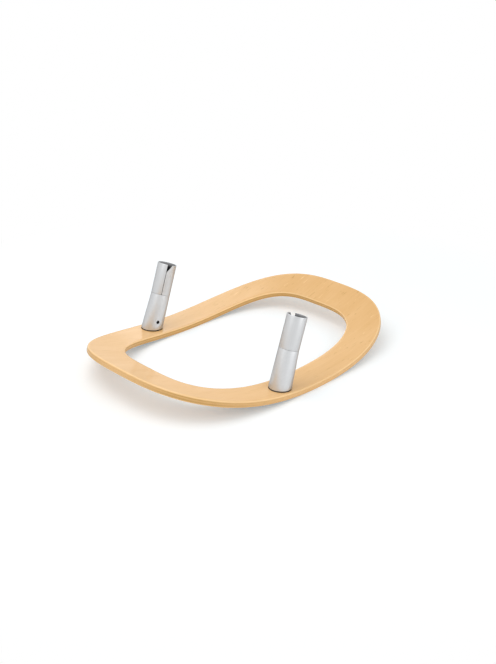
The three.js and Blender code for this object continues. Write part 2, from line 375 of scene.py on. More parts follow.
def turned(name, outline, steps=TURNED_STEPS, hollow=True, shift=None):
    """Turns an outline of (radius, height) points about Z, one extruded ring for each point.

    A hollow outline closes on itself, and a solid one is capped at both ends.
    The shift gives how far the ring of each point stands off the axis, along X.
    """
    offsets = shift or [0] * len(outline)
    deselect()
    radius, height = outline[0]
    bpy.ops.mesh.primitive_circle_add(
        vertices=steps,
        radius=radius,
        location=(offsets[0], 0, height),
        fill_type="NOTHING" if hollow else "NGON",
    )
    piece = settle(start(name, bpy.context.object))
    edit_all(piece)
    bpy.ops.mesh.select_mode(type="EDGE")
    for i in range(1, len(outline)):
        wide, high = outline[i]
        step = (offsets[i] - offsets[i - 1], 0, high - height)
        bpy.ops.mesh.extrude_edges_move(TRANSFORM_OT_translate={"value": step})
        if wide != radius:
            bpy.ops.transform.resize(
                value=(wide / radius, wide / radius, 1), center_override=(offsets[i], 0, high)
            )
        radius, height = wide, high
    close_openings(piece)
    face_outward()
    return piece


def rounded(outline, widths):
    """The outline with an arc in place of each corner that has a width, given by its number."""
    points = []
    for i, here in enumerate(outline):
        if i not in widths:
            points.append(tuple(here))
            continue
        corner = Vector(here)
        before = (Vector(outline[i - 1]) - corner).normalized() * widths[i]
        after = (Vector(outline[(i + 1) % len(outline)]) - corner).normalized() * widths[i]
        for step in range(ARC_STEPS + 1):
            share = step / ARC_STEPS
            points.append(tuple(corner + before * (1 - share) ** 2 + after * share**2))
    return points


def open_loops(mesh):
    """Counts the closed loops of open edges."""
    waiting = {edge for edge in mesh.edges if edge.is_boundary}
    count = 0
    while waiting:
        count += 1
        reach = [waiting.pop()]
        while reach:
            edge = reach.pop()
            for vertex in edge.verts:
                for other in vertex.link_edges:
                    if other in waiting:
                        waiting.remove(other)
                        reach.append(other)
    return count


def close_openings(piece):
    """Closes the open edges: with a face on one loop, or with a wall between two."""
    mesh = bmesh.from_edit_mesh(piece.data)
    for edge in mesh.edges:
        edge.select_set(edge.is_boundary)
    loops = open_loops(mesh)
    bmesh.update_edit_mesh(piece.data)
    if loops > 1:
        bpy.ops.mesh.bridge_edge_loops()
    else:
        bpy.ops.mesh.edge_face_add()


def rod(name, radius, length, matrix):
    """A plain cylinder for cutting, centred, with its length along Z before it is placed."""
    deselect()
    bpy.ops.mesh.primitive_cylinder_add(vertices=FINE_STEPS, radius=radius, depth=length)
    return settle(start(name, bpy.context.object), matrix)


def block(name, low, high, matrix):
    """A plain box for cutting, between two corners before it is placed."""
    deselect()
    bpy.ops.mesh.primitive_cube_add(size=1)
    piece = start(name, bpy.context.object)
    middle = (Vector(low) + Vector(high)) / 2
    size = Vector(high) - Vector(low)
    scaled = Matrix.Translation(middle) @ Matrix.Diagonal((*size, 1))
    return settle(piece, matrix @ scaled)


# Places


def sleeve_joint(side):
    """The hinge of the sleeve on one side."""
    prefix = "left" if side < 0 else "right"
    return SLEEVE_JOINTS[f"{prefix}_sleeve_turn"]


def seat_matrix(side):
    """Where a post stands on the wood, with Z square to the wood."""
    across = sleeve_joint(side)["pos_m"][0]
    height = BEND_CENTRE - math.sqrt(TOP_RADIUS**2 - POST_FORWARD**2)
    return Matrix.Translation((across, -POST_FORWARD, height)) @ Matrix.Rotation(-SEAT_TILT, 4, "X")


def post_matrix(side):
    """The same spot, with Z along the post."""
    _, back, up = sleeve_joint(side)["axis"]
    lean = math.atan2(back, up)
    return Matrix.Translation(seat_matrix(side).translation) @ Matrix.Rotation(-lean, 4, "X")


def screw_matrices(side):
    """Where the front and the back ring screw of a post stand, with Z square to the wood."""
    seat = seat_matrix(side)
    return [seat @ Matrix.Translation((0, end * SCREW_SPACING / 2, 0)) for end in (-1, 1)]


def lock_matrix(side, radius):
    """Where the lock screw's hole is, with Z pointing out of the foot."""
    turn = LOCK_TURN if side < 0 else math.pi - LOCK_TURN
    return (
        post_matrix(side)
        @ Matrix.Translation((0, 0, LOCK_HEIGHT))
        @ Matrix.Rotation(turn, 4, "Z")
        @ Matrix.Translation((radius, 0, 0))
        @ Matrix.Rotation(math.pi / 2, 4, "Y")
    )


def trim_to_seat(piece, side):
    """Cuts a piece off above the wood, where its gasket lies, and closes the cut."""
    seat = seat_matrix(side)
    point = seat @ Vector((0, 0, SEAT_LEVEL))
    normal = seat.to_3x3() @ Vector((0, 0, 1))
    slice_at(piece, point, normal, clear_inner=True)
    bpy.ops.mesh.select_mode(type="EDGE")
    close_openings(piece)
    face_outward()


# Ring


def outline_point(half_width, half_length, power, angle):
    """A point of a squared ellipse in the direction of an angle."""
    across = math.cos(angle)
    along = math.sin(angle)
    size = (abs(across / half_width) ** power + abs(along / half_length) ** power) ** (-1 / power)
    return Vector((across * size, along * size))


def band_point(angle, share, half_length):
    """A point of the flat sheet: share 0 lies on the inner edge and 1 on the outer edge."""
    half_width = RING_HIGH.x
    outer = outline_point(half_width, half_length, OUTER_POWER, angle)
    inner = outline_point(half_width - SIDE_BAND, half_length - END_BAND, INNER_POWER, angle)
    plan = inner.lerp(outer, share)
    return Vector((plan.x, MID_RADIUS * math.asin(plan.y / MID_RADIUS), 0))


def lay_loop(piece, share, half_length):
    """Moves the selected loop to its place across the band."""
    mesh = bmesh.from_edit_mesh(piece.data)
    for vertex in mesh.verts:
        if vertex.select:
            angle = vertex[mesh.verts.layers.float["angle"]]
            vertex.co = band_point(angle, share, half_length)
    bmesh.update_edit_mesh(piece.data)


def flat_band(rounding):
    """The flat ring of the sheet's middle layer, one loop after the other from the outer edge."""
    end_turn = math.asin(RING_HIGH.y / MID_RADIUS)
    wall_end = RING_HIGH.y - rounding * (1 - math.cos(end_turn))
    half_length = wall_end / (1 + (THICKNESS / 2 - rounding) / MID_RADIUS)
    deselect()
    bpy.ops.mesh.primitive_circle_add(vertices=RING_STEPS, radius=RING_HIGH.x)
    piece = start("plywood_ring", bpy.context.object)
    bpy.ops.object.mode_set(mode="EDIT")
    mesh = bmesh.from_edit_mesh(piece.data)
    layer = mesh.verts.layers.float.new("angle")
    for vertex in mesh.verts:
        vertex[layer] = math.atan2(vertex.co.y, vertex.co.x)
    bmesh.update_edit_mesh(piece.data)
    bpy.ops.mesh.select_all(action="SELECT")
    bpy.ops.mesh.select_mode(type="EDGE")
    lay_loop(piece, 1, half_length)
    for i in range(1, BAND_STEPS + 1):
        bpy.ops.mesh.extrude_edges_move()
        lay_loop(piece, 1 - i / BAND_STEPS, half_length)
    return piece


def thicken(piece, rounding):
    """Gives the flat ring its thickness and rounds its four edges."""
    bpy.ops.mesh.select_all(action="SELECT")
    bpy.ops.transform.translate(value=(0, 0, -THICKNESS / 2))
    bpy.ops.mesh.extrude_region_move(TRANSFORM_OT_translate={"value": (0, 0, THICKNESS)})
    bpy.ops.mesh.select_all(action="SELECT")
    bpy.ops.mesh.normals_make_consistent(inside=False)
    mesh = bmesh.from_edit_mesh(piece.data)
    for face in mesh.faces:
        face.select_set(False)
    for edge in mesh.edges:
        edge.select_set(edge.calc_face_angle(0) > CORNER_ANGLE)
    bmesh.update_edit_mesh(piece.data)
    bpy.ops.mesh.bevel(offset=rounding, offset_type="OFFSET", segments=ROUND_STEPS, profile=0.5)
    bpy.ops.object.mode_set(mode="OBJECT")


def bend(piece):
    """Bends the sheet round an axis across it, and puts its underside on the floor."""
    settle(piece, Matrix.Rotation(-math.pi / 2, 4, "X"))
    lengths = [vertex.co.z for vertex in piece.data.vertices]
    turn = (max(lengths) - min(lengths)) / MID_RADIUS
    finish_modifier(piece, "SIMPLE_DEFORM", deform_method="BEND", deform_axis="X", angle=turn)
    lift = Matrix.Translation((0, 0, BEND_CENTRE - MID_RADIUS))
    settle(piece, lift @ Matrix.Rotation(math.pi / 2, 4, "X"))


def flatten_underside(piece):
    """Cuts the land under the middle, on which the ring rests."""
    slice_at(piece, (0, 0, 0), (0, 0, 1), clear_inner=True, use_fill=True)
    bpy.ops.object.mode_set(mode="OBJECT")


def cut_screw_holes(piece):
    """Cuts a countersunk hole up through the ring for each screw of each post."""
    hole = SCREW_RADIUS + FIT_GAP
    mouth = SCREW_HEAD_RADIUS + FIT_GAP
    wide = mouth + OVERRUN
    outline = [
        (wide, -THICKNESS - OVERRUN),
        (hole, -THICKNESS + mouth - hole),
        (hole, OVERRUN),
    ]
    for _, side in SIDES:
        for place in screw_matrices(side):
            cutter = turned("screw_hole", outline, FINE_STEPS, hollow=False)
            cut(piece, settle(cutter, place))


# Posts


def cone_ring(height, inset=0.0):
    """Radius of the foot's cone and its shift outward, at a height along the post."""
    share = 1 - height / SEAM_HEIGHT
    return SLEEVE_RADIUS - inset + (FOOT_RADIUS - SLEEVE_RADIUS) * share, FOOT_SHIFT * share


def foot_piece(name, side, edge):
    """The leaning cone with its bore, trimmed to the wood, with the lock screw's hole."""
    below = -BELOW_SEAT
    top = SEAM_HEIGHT - FIT_GAP
    low_radius, low_shift = cone_ring(below)
    top_radius, top_shift = cone_ring(top)
    outline = rounded(
        [(low_radius, below), (top_radius, top), (BORE_RADIUS, top), (BORE_RADIUS, below)],
        {1: edge},
    )
    shift = [side * low_shift] + [side * top_shift] * (ARC_STEPS + 1) + [0, 0]
    piece = settle(turned(name, outline, shift=shift), post_matrix(side))
    trim_to_seat(piece, side)
    soften(piece, edge)
    cut(piece, lock_cutter(side))
    smooth(piece)
    return piece


def lock_cutter(side):
    """The lock screw's hole with a small chamfer where it leaves the foot."""
    radius, shift = cone_ring(LOCK_HEIGHT)
    surface = radius - shift * math.cos(LOCK_TURN)
    hole = LOCK_RADIUS + FIT_GAP
    outline = [
        (hole, surface - SLEEVE_RADIUS / 2),
        (hole, surface - LOCK_CHAMFER),
        (hole + LOCK_CHAMFER + OVERRUN, surface + OVERRUN),
    ]
    cutter = turned("lock_hole", outline, FINE_STEPS, hollow=False)
    return settle(cutter, lock_matrix(side, 0))


def sleeve_piece(name, side, edge):
    """The tube above the seam, with its slit and the notch beside it."""
    outline = rounded(
        [
            (SLEEVE_RADIUS, SEAM_HEIGHT),
            (SLEEVE_RADIUS, POST_HEIGHT),
            (BORE_RADIUS, POST_HEIGHT),
            (BORE_RADIUS, SEAM_HEIGHT),
        ],
        {0: edge, 1: 2 * edge, 2: edge},
    )
    place = post_matrix(side)
    turn = SLIT_TURN if side < 0 else SLIT_TURN + math.pi
    slit_place = place @ Matrix.Rotation(turn, 4, "Z")
    reach = SLEEVE_RADIUS + OVERRUN
    piece = settle(turned(name, outline), place)
    slit = block(
        "slit",
        (0, -SLIT_WIDTH / 2, SEAM_HEIGHT - OVERRUN),
        (reach, SLIT_WIDTH / 2, POST_HEIGHT + OVERRUN),
        slit_place,
    )
    cut(piece, slit)
    cut(piece, notch_cutter(slit_place, reach))
    smooth(piece)
    return piece


def notch_cutter(slit_place, reach):
    """The wedge beside the slit that opens towards the rim."""
    low = (0, 0, POST_HEIGHT - NOTCH_DEPTH)
    cutter = block("notch", low, (reach, NOTCH_WIDTH, POST_HEIGHT + OVERRUN), slit_place)
    outward = slit_place.to_3x3() @ Vector((0, NOTCH_DEPTH, -NOTCH_WIDTH))
    point = slit_place @ Vector(low)
    slice_at(cutter, point, outward.normalized(), clear_outer=True, use_fill=True)
    bpy.ops.object.mode_set(mode="OBJECT")
    return cutter


def core_piece(name, side, edge):
    """The turned core, with its block, neck, collar and centre hole, and the screws' holes."""
    collar_top = SEAM_HEIGHT + SPIGOT_LENGTH
    collar_low = collar_top - COLLAR_LENGTH
    outline = rounded(
        [
            (CORE_RADIUS, -BELOW_SEAT),
            (CORE_RADIUS, BLOCK_HEIGHT),
            (NECK_RADIUS, BLOCK_HEIGHT),
            (NECK_RADIUS, collar_low),
            (CORE_RADIUS, collar_low),
            (CORE_RADIUS, collar_top),
            (CENTRE_HOLE, collar_top),
            (CENTRE_HOLE, collar_top - 2 * CENTRE_HOLE),
        ],
        {1: CORE_ROUNDING, 4: CORE_ROUNDING, 5: CORE_ROUNDING, 6: edge},
    )
    place = post_matrix(side)
    piece = settle(turned(name, outline, hollow=False), place)
    trim_to_seat(piece, side)
    for spot in screw_matrices(side):
        cut(piece, rod("screw_hole", SCREW_RADIUS + FIT_GAP, 2 * SCREW_REACH, spot))
    lock = lock_matrix(side, CORE_RADIUS)
    cut(piece, rod("lock_hole", LOCK_RADIUS + FIT_GAP, LOCK_RADIUS * 2, lock))
    smooth(piece)
    return piece


# Helpers for materials


class Graph:
    """Adds nodes to one node tree, with each input set or linked."""

    def __init__(self, tree):
        self.tree = tree
        tree.nodes.clear()

    def add(self, kind, inputs=None, **settings):
        """Adds a node with these inputs and settings."""
        made = self.tree.nodes.new(kind)
        for key, value in settings.items():
            setattr(made, key, value)
        for key, value in (inputs or {}).items():
            if isinstance(value, bpy.types.NodeSocket):
                self.tree.links.new(value, made.inputs[key])
            else:
                made.inputs[key].default_value = value
        return made

    def calc(self, operation, *values, clamp=False):
        """The result of a sum on numbers."""
        inputs = dict(enumerate(values))
        return self.add("ShaderNodeMath", inputs, operation=operation, use_clamp=clamp).outputs[0]

    def plus(self, one, two):
        """one + two"""
        return self.calc("ADD", one, two)

    def minus(self, one, two):
        """one - two"""
        return self.calc("SUBTRACT", one, two)

    def times(self, one, two):
        """one * two"""
        return self.calc("MULTIPLY", one, two)

    def line(self, value, factor, start, clamp=False):
        """value * factor + start"""
        return self.calc("MULTIPLY_ADD", value, factor, start, clamp=clamp)

    def between(self, value, low, high, out_low=0.0, out_high=1.0):
        """Goes from out_low to out_high while the value goes from low to high, and stays there."""
        inputs = {"Value": value, 1: low, 2: high, 3: out_low, 4: out_high}
        return self.add("ShaderNodeMapRange", inputs, clamp=True).outputs[0]

    def blend(self, factor, one, two):
        """Colour one at factor 0 and colour two at factor 1."""
        inputs = {"Factor": factor, 6: one, 7: two}
        return self.add("ShaderNodeMix", inputs, data_type="RGBA").outputs[2]

    def split(self, vector):
        """The X, Y and Z of a vector."""
        return self.add("ShaderNodeSeparateXYZ", {0: vector}).outputs

    def joined(self, **parts):
        """A vector from its X, Y and Z, with 0 for what isn't given."""
        return self.add("ShaderNodeCombineXYZ", parts).outputs[0]

    def on_vectors(self, operation, *values):
        """A node that does a sum on vectors."""
        return self.add("ShaderNodeVectorMath", dict(enumerate(values)), operation=operation)

    def length(self, vector):
        """Length of a vector."""
        return self.on_vectors("LENGTH", vector).outputs["Value"]

    def dot(self, one, two):
        """Dot product of two vectors."""
        return self.on_vectors("DOT_PRODUCT", one, two).outputs["Value"]

    def stretched(self, vector, scale):
        """A vector with each part multiplied by its own scale."""
        return self.on_vectors("MULTIPLY", vector, scale).outputs[0]

    def noise(self, vector, scale, detail=2.0, roughness=0.5):
        """Soft random values round 0.5."""
        inputs = {"Vector": vector, "Scale": scale, "Detail": detail, "Roughness": roughness}
        return self.add("ShaderNodeTexNoise", inputs).outputs["Fac"]

    def pattern(self, place, fineness, detail=2.0, roughness=0.5):
        """Soft random values, with their fineness for each metre given along X, Y and Z."""
        return self.noise(self.stretched(place, fineness), 1.0, detail, roughness)


def opaque(colour, share=1.0):
    """A colour for a socket, lighter or darker by a share."""
    return (*(share * value for value in colour), 1)


def new_group(name, inputs, outputs):
    """A shader node group with its sockets, and a graph to fill it."""
    group = bpy.data.node_groups.new(name, "ShaderNodeTree")
    graph = Graph(group)
    for label, kind, default in inputs:
        socket = group.interface.new_socket(label, in_out="INPUT", socket_type=kind)
        if default is not None:
            socket.default_value = default
    for label, kind in outputs:
        group.interface.new_socket(label, in_out="OUTPUT", socket_type=kind)
    entry = group.nodes.new("NodeGroupInput").outputs
    leave = group.nodes.new("NodeGroupOutput").inputs
    return group, graph, entry, leave


def new_material(name):
    """A material with an empty tree, and a graph to fill it."""
    material = bpy.data.materials.new(name)
    material.use_nodes = True
    return material, Graph(material.node_tree)


def close_material(graph, shader):
    """Links the shader to the material's surface."""
    graph.add("ShaderNodeOutputMaterial", {"Surface": shader})


def object_place(graph):
    """Place on the object, in metres."""
    return graph.add("ShaderNodeTexCoord").outputs["Object"]


def object_normal(graph):
    """Direction that the surface faces, on the object."""
    return graph.add("ShaderNodeTexCoord").outputs["Normal"]


def bump(graph, height, strength, distance):
    """Turns a height into the small relief of a surface."""
    inputs = {"Height": height, "Strength": strength, "Distance": distance}
    return graph.add("ShaderNodeBump", inputs).outputs["Normal"]


# Effects shared by more than one material


def smudge_group(name):
    """Builds faint cloudy marks of handling, from 0 to 1."""
    group, graph, entry, leave = new_group(
        name,
        [("Place", "NodeSocketVector", None), ("Size", "NodeSocketFloat", 0.05)],
        [("Mask", "NodeSocketFloat")],
    )
    scale = graph.calc("DIVIDE", 1.0, entry["Size"])
    broad = graph.noise(entry["Place"], scale, detail=3.0, roughness=0.6)
    small = graph.noise(entry["Place"], graph.times(scale, 4.0))
    mixed = graph.times(broad, graph.line(small, 0.6, 0.7))
    graph.tree.links.new(graph.between(mixed, 0.35, 0.75), leave["Mask"])
    return group


def fine_lines_group(name):
    """Builds fine lines left by brushing or turning: they run where the fineness is small."""
    group, graph, entry, leave = new_group(
        name,
        [("Place", "NodeSocketVector", None), ("Fineness", "NodeSocketVector", None)],
        [("Height", "NodeSocketFloat"), ("Tone", "NodeSocketFloat")],
    )
    place = graph.stretched(entry["Place"], entry["Fineness"])
    fine = graph.noise(place, 1.0, detail=3.0, roughness=0.65)
    broad = graph.pattern(place, BROAD_LINES, detail=1.0)
    mixed = graph.line(broad, 0.5, graph.times(fine, 0.5))
    graph.tree.links.new(fine, leave["Height"])
    graph.tree.links.new(graph.between(mixed, 0.3, 0.7), leave["Tone"])
    return group


def place_effect(graph, name, build, inputs):
    """Puts a shared group into a material, and builds it when it is first needed."""
    group = bpy.data.node_groups.get(name) or build(name)
    return graph.add("ShaderNodeGroup", inputs, node_tree=group).outputs


def handling_marks(graph, place, size):
    """Mask of the cloudy marks, with the size of one cloud."""
    inputs = {"Place": place, "Size": size}
    return place_effect(graph, "Handling marks", smudge_group, inputs)["Mask"]


def fine_lines(graph, place, fineness):
    """Height and tone of the fine lines."""
    inputs = {"Place": place, "Fineness": fineness}
    made = place_effect(graph, "Fine lines", fine_lines_group, inputs)
    return made["Height"], made["Tone"]


# Plywood


def ply_at(graph, place, depth, plies):
    """Number of the ply, counted from the top, and a mask of the glue lines between plies."""
    wave = graph.pattern(place, PLY_WAVES)
    uneven = graph.times(graph.minus(wave, 0.5), PLY_UNEVENNESS)
    layers = graph.plus(graph.times(depth, plies / THICKNESS), uneven)
    inside = graph.calc("MINIMUM", graph.calc("MAXIMUM", layers, 0.5), plies - 0.5)
    from_middle = graph.calc("ABSOLUTE", graph.minus(graph.calc("FRACT", layers), 0.5))
    return graph.calc("FLOOR", inside), graph.between(from_middle, 0.43, 0.49)


def grain_place(graph, parts, depth, number):
    """Place across and along the grain, which turns from ply to ply and starts anew in each."""
    along = graph.joined(X=parts["X"], Y=parts["Y"], Z=depth)
    across = graph.joined(X=parts["Y"], Y=parts["X"], Z=depth)
    turns = {"Factor": graph.calc("MODULO", number, 2.0), 4: along, 5: across}
    lay = graph.add("ShaderNodeMix", turns, data_type="VECTOR").outputs[1]
    offset = graph.joined(Z=graph.times(number, PLY_OFFSET))
    return graph.on_vectors("ADD", lay, offset).outputs[0]


def face_colour(graph, settings, lay, backward, fibres, flecks):
    """Colour of the long grain, which is more figured towards the back and darker there with
    painted shade.
    """
    streaks = graph.pattern(lay, STREAKS, detail=3.0, roughness=0.55)
    figure = graph.pattern(lay, FIGURE)
    tone = graph.line(streaks, 0.3, graph.times(fibres, 0.2))
    tone = graph.between(graph.plus(tone, graph.times(figure, 0.6)), 0.4, 0.72)
    # painted shade: the back of the ring is made darker
    painted_back_shade = graph.between(backward, 0.16, 0.34)
    tone = graph.line(painted_back_shade, 0.5, graph.times(tone, 0.8), clamp=True)
    face = graph.blend(tone, opaque(settings.light), opaque(settings.deep))
    face = graph.blend(graph.times(flecks, FLECK_SHARE), face, opaque(settings.end_grain))
    strokes = graph.pattern(lay, STROKES, roughness=0.6)
    figured = graph.between(backward, 0.0, 0.25, 0.2, 1.0)
    dark = graph.times(graph.between(strokes, 0.64, 0.69, 0.0, DARK_STROKE_SHARE), figured)
    face = graph.blend(dark, face, opaque(settings.end_grain))
    pale = graph.times(graph.between(strokes, 0.28, 0.33, PALE_STROKE_SHARE, 0.0), figured)
    return graph.blend(pale, face, opaque(settings.pale_grain_and_highlight))


def end_grain_and_painted_shading(graph, place):
    """How much end grain the edge shows, most where it runs slanting to the grain, with painted
    shade on the edge inside the ring and painted light where it faces right.
    """
    facing = graph.split(object_normal(graph))
    slant = graph.calc("ABSOLUTE", graph.times(facing["X"], facing["Y"]))
    # painted light: the edge that faces right is made lighter
    slant_with_painted_light = graph.between(facing["X"], -0.3, 0.3, 1.05, 0.8)
    share = graph.line(graph.calc("ABSOLUTE", facing["Y"]), 0.1, 0.03)
    share = graph.line(slant, slant_with_painted_light, share)
    # painted shade: the edge inside the ring is made darker
    outward = graph.dot(object_normal(graph), graph.stretched(place, (1.0, 1.0, 0.0)))
    inner = graph.between(outward, -0.05, 0.0, 1.0, 0.0)
    return graph.plus(share, graph.times(inner, graph.minus(INNER_PAINTED_SHADE, share)))


def ply_tone(graph, lay, number):
    """How dark the cut of each ply is, with its pores."""
    order = graph.calc("SINE", graph.line(number, PLY_RHYTHM, PLY_PHASE))
    white = graph.add("ShaderNodeTexWhiteNoise", {"W": number}, noise_dimensions="1D")
    tone = graph.line(white.outputs["Value"], 0.5, graph.times(order, 0.5))
    tone = graph.between(tone, -0.25, 0.75, 0.6, 1.4)
    pores = graph.pattern(lay, PORES, roughness=0.6)
    return graph.times(tone, graph.between(pores, 0.3, 0.7, 0.85, 1.1))


def plywood(settings):
    """Lacquered plywood: long grain on the faces, layers with end grain on the edges."""
    material, graph = new_material("Plywood")
    place = object_place(graph)
    parts = graph.split(place)
    arm = graph.joined(Y=parts["Y"], Z=graph.minus(parts["Z"], BEND_CENTRE))
    radius = graph.length(arm)
    depth = graph.minus(radius, TOP_RADIUS)
    number, glue = ply_at(graph, place, depth, settings.plies)
    lay = grain_place(graph, parts, depth, number)

    fibres = graph.pattern(lay, FIBRES, roughness=0.6)
    flecks = graph.pattern(lay, FLECKS, detail=1.0, roughness=0.4)
    flecks = graph.between(flecks, 0.66, 0.78)
    face = face_colour(graph, settings, lay, parts["Y"], fibres, flecks)

    level = graph.calc("DIVIDE", graph.dot(object_normal(graph), arm), radius)
    slope = graph.minus(1.0, graph.calc("ABSOLUTE", level))
    edge = graph.between(slope, 0.25, 0.8)
    end_grain_and_shading = graph.times(end_grain_and_painted_shading(graph, place), edge)
    end_grain_and_shading = graph.times(ply_tone(graph, lay, number), end_grain_and_shading)
    colour = graph.blend(end_grain_and_shading, face, opaque(settings.end_grain))
    glue = graph.times(glue, edge)
    colour = graph.blend(graph.times(glue, GLUE_SHARE), colour, opaque(settings.end_grain, 0.5))
    # painted highlight along the rounded edges of the wood
    corner = graph.between(slope, 0.01, 0.1)
    corner = graph.times(corner, graph.between(slope, 0.35, 0.75, 1.0, 0.0))
    colour = graph.blend(graph.times(corner, EDGE_HIGHLIGHT_SHARE), colour, opaque(settings.pale_grain_and_highlight))

    marks = handling_marks(graph, place, size=60 * MM)
    rough = graph.line(marks, 0.08, WOOD_ROUGHNESS)
    relief = graph.line(glue, -0.8, graph.line(flecks, -0.5, fibres))
    shader = graph.add(
        "ShaderNodeBsdfPrincipled",
        {
            "Base Color": colour,
            "Roughness": graph.line(fibres, 0.06, rough),
            "Normal": bump(graph, relief, strength=0.25, distance=0.1 * MM),
            "Specular IOR Level": 0.0,
            "Coat Weight": 0.65,
            "Coat Roughness": 0.15,
        },
    )
    close_material(graph, shader.outputs[0])
    return material


# Metal and rubber


def post_place(graph, side):
    """Place on a post, turned and moved so that Z runs along the post's axis."""
    inverse = post_matrix(side).inverted()
    inputs = {
        "Vector": object_place(graph),
        "Location": inverse.translation,
        "Rotation": inverse.to_euler("XYZ"),
    }
    return graph.add("ShaderNodeMapping", inputs, vector_type="POINT").outputs[0]


def satin_metal(name, side, colour, fineness, rough, relief):
    """Light satin metal with fine lines and faint marks of handling, rougher inside the bore, with
    painted shade there that is darkest deep down.
    """
    material, graph = new_material(name)
    place = post_place(graph, side)
    radius = graph.length(graph.stretched(place, (1.0, 1.0, 0.0)))
    inside = graph.between(radius, BORE_RADIUS + 0.3 * MM, BORE_RADIUS + 0.8 * MM, 1.0, 0.0)
    height, tone = fine_lines(graph, place, fineness)
    tint = graph.blend(graph.times(tone, 0.5), opaque(colour), opaque(colour, 0.9))
    # painted shade in the bore, darkest deep down and lighter towards the rim
    along = graph.split(place)["Z"]
    shade_fade = graph.between(along, POST_HEIGHT - BORE_SHADE_FADE, POST_HEIGHT)
    bore = graph.blend(shade_fade, opaque(BORE_DEEP_SHADE), opaque(BORE_RIM_SHADE))
    marks = handling_marks(graph, place, size=30 * MM)
    worn = graph.line(marks, -0.07, rough)
    worn = graph.line(tone, 0.08, worn)
    shader = graph.add(
        "ShaderNodeBsdfPrincipled",
        {
            "Base Color": graph.blend(inside, tint, bore),
            "Metallic": 1.0,
            "Specular Tint": EDGE_TINT,
            "Roughness": graph.line(inside, 0.2, worn),
            "Normal": bump(graph, height, strength=relief, distance=0.05 * MM),
        },
    )
    close_material(graph, shader.outputs[0])
    return material


def rubber():
    """Matt black rubber with a fine grain and a little dust."""
    material, graph = new_material("Rubber")
    place = object_place(graph)
    dust = graph.times(handling_marks(graph, place, size=12 * MM), 0.3)
    grain = graph.noise(place, RUBBER_GRAIN)
    shader = graph.add(
        "ShaderNodeBsdfPrincipled",
        {
            "Base Color": graph.blend(dust, opaque(CLEAN_RUBBER), opaque(DUSTY_RUBBER)),
            "Roughness": graph.line(grain, 0.15, RUBBER_ROUGHNESS),
            "Normal": bump(graph, grain, strength=0.4, distance=0.1 * MM),
        },
    )
    close_material(graph, shader.outputs[0])
    return material


def screw_steel(name, colour, metallic, rough):
    """Screw steel, dark or plated, with the faint marks of a key."""
    material, graph = new_material(name)
    place = object_place(graph)
    marks = graph.times(handling_marks(graph, place, size=4 * MM), 0.35)
    height, tone = fine_lines(graph, place, KEY_LINES)
    shader = graph.add(
        "ShaderNodeBsdfPrincipled",
        {
            "Base Color": graph.blend(marks, opaque(colour), opaque(colour, 1.8)),
            "Metallic": metallic,
            "Roughness": graph.line(tone, 0.15, rough),
            "Normal": bump(graph, height, strength=0.15, distance=0.05 * MM),
        },
    )
    close_material(graph, shader.outputs[0])
    return material


# Finishing of pieces


def dress(piece, material, slot, body, *replaced):
    """Gives a new piece its finish, puts it on its body and hides the CAD nodes that it replaces.
    """
    piece.data.materials.clear()
    piece.data.materials.append(material)
    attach(piece, body)
    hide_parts(*replaced)


def coat_node(name, material):
    """Gives a CAD node that stays a better material."""
    for slot in frame["nodes"][name].material_slots:
        slot.link = "OBJECT"
        slot.material = material


# Operators


class AddRing(bpy.types.Operator):
    """Adds the bent plywood ring."""

    bl_idname = "rocking_base.add_ring"
    bl_label = "Add ring"

    def execute(self, context):
        settings = context.scene.rocking_ring
        piece = flat_band(settings.rounding)
        thicken(piece, settings.rounding)
        bend(piece)
        flatten_underside(piece)
        cut_screw_holes(piece)
        smooth(piece, WOOD_ANGLE)
        dress(piece, plywood(settings), "plywood", "base_body", "rocker_ring")
        return {"FINISHED"}


class AddFeet(bpy.types.Operator):
    """Adds the leaning foot of each post."""

    bl_idname = "rocking_base.add_feet"
    bl_label = "Add feet"

    def execute(self, context):
        settings = context.scene.rocking_posts
        for prefix, side in SIDES:
            piece = foot_piece(f"{prefix}_foot_shell", side, settings.edge)
            metal = satin_metal(f"Cast metal {prefix}", side, settings.foot_metal, **CAST)
            dress(piece, metal, "foot", "base_body", f"{prefix}_foot")
        return {"FINISHED"}


class AddSleeves(bpy.types.Operator):
    """Adds the split sleeve of each post."""

    bl_idname = "rocking_base.add_sleeves"
    bl_label = "Add sleeves"

    def execute(self, context):
        settings = context.scene.rocking_posts
        for prefix, side in SIDES:
            piece = sleeve_piece(f"{prefix}_split_sleeve", side, settings.edge)
            metal = satin_metal(f"Brushed metal {prefix}", side, settings.sleeve_metal, **BRUSHED)
            dress(piece, metal, "sleeve", f"{prefix}_sleeve_body", f"{prefix}_sleeve")
        return {"FINISHED"}


class AddCores(bpy.types.Operator):
    """Adds the turned core inside each post."""

    bl_idname = "rocking_base.add_cores"
    bl_label = "Add cores"

    def execute(self, context):
        settings = context.scene.rocking_posts
        for prefix, side in SIDES:
            piece = core_piece(f"{prefix}_turned_core", side, settings.edge)
            metal = satin_metal(f"Turned metal {prefix}", side, settings.core_metal, **TURNED)
            dress(piece, metal, "core", "base_body", f"{prefix}_post_core")
        return {"FINISHED"}


class FinishHardware(bpy.types.Operator):
    """Finishes the gaskets and the screws."""

    bl_idname = "rocking_base.finish_hardware"
    bl_label = "Finish gaskets and screws"

    def execute(self, context):
        soft = rubber()
        black = screw_steel("Black steel", **BLACK_STEEL)
        plated = screw_steel("Plated steel", **PLATED_STEEL)
        for prefix, _ in SIDES:
            coat_node(f"{prefix}_foot_gasket", soft)
            coat_node(f"{prefix}_lock_screw", black)
            coat_node(f"{prefix}_front_ring_screw", plated)
            coat_node(f"{prefix}_back_ring_screw", plated)
        return {"FINISHED"}


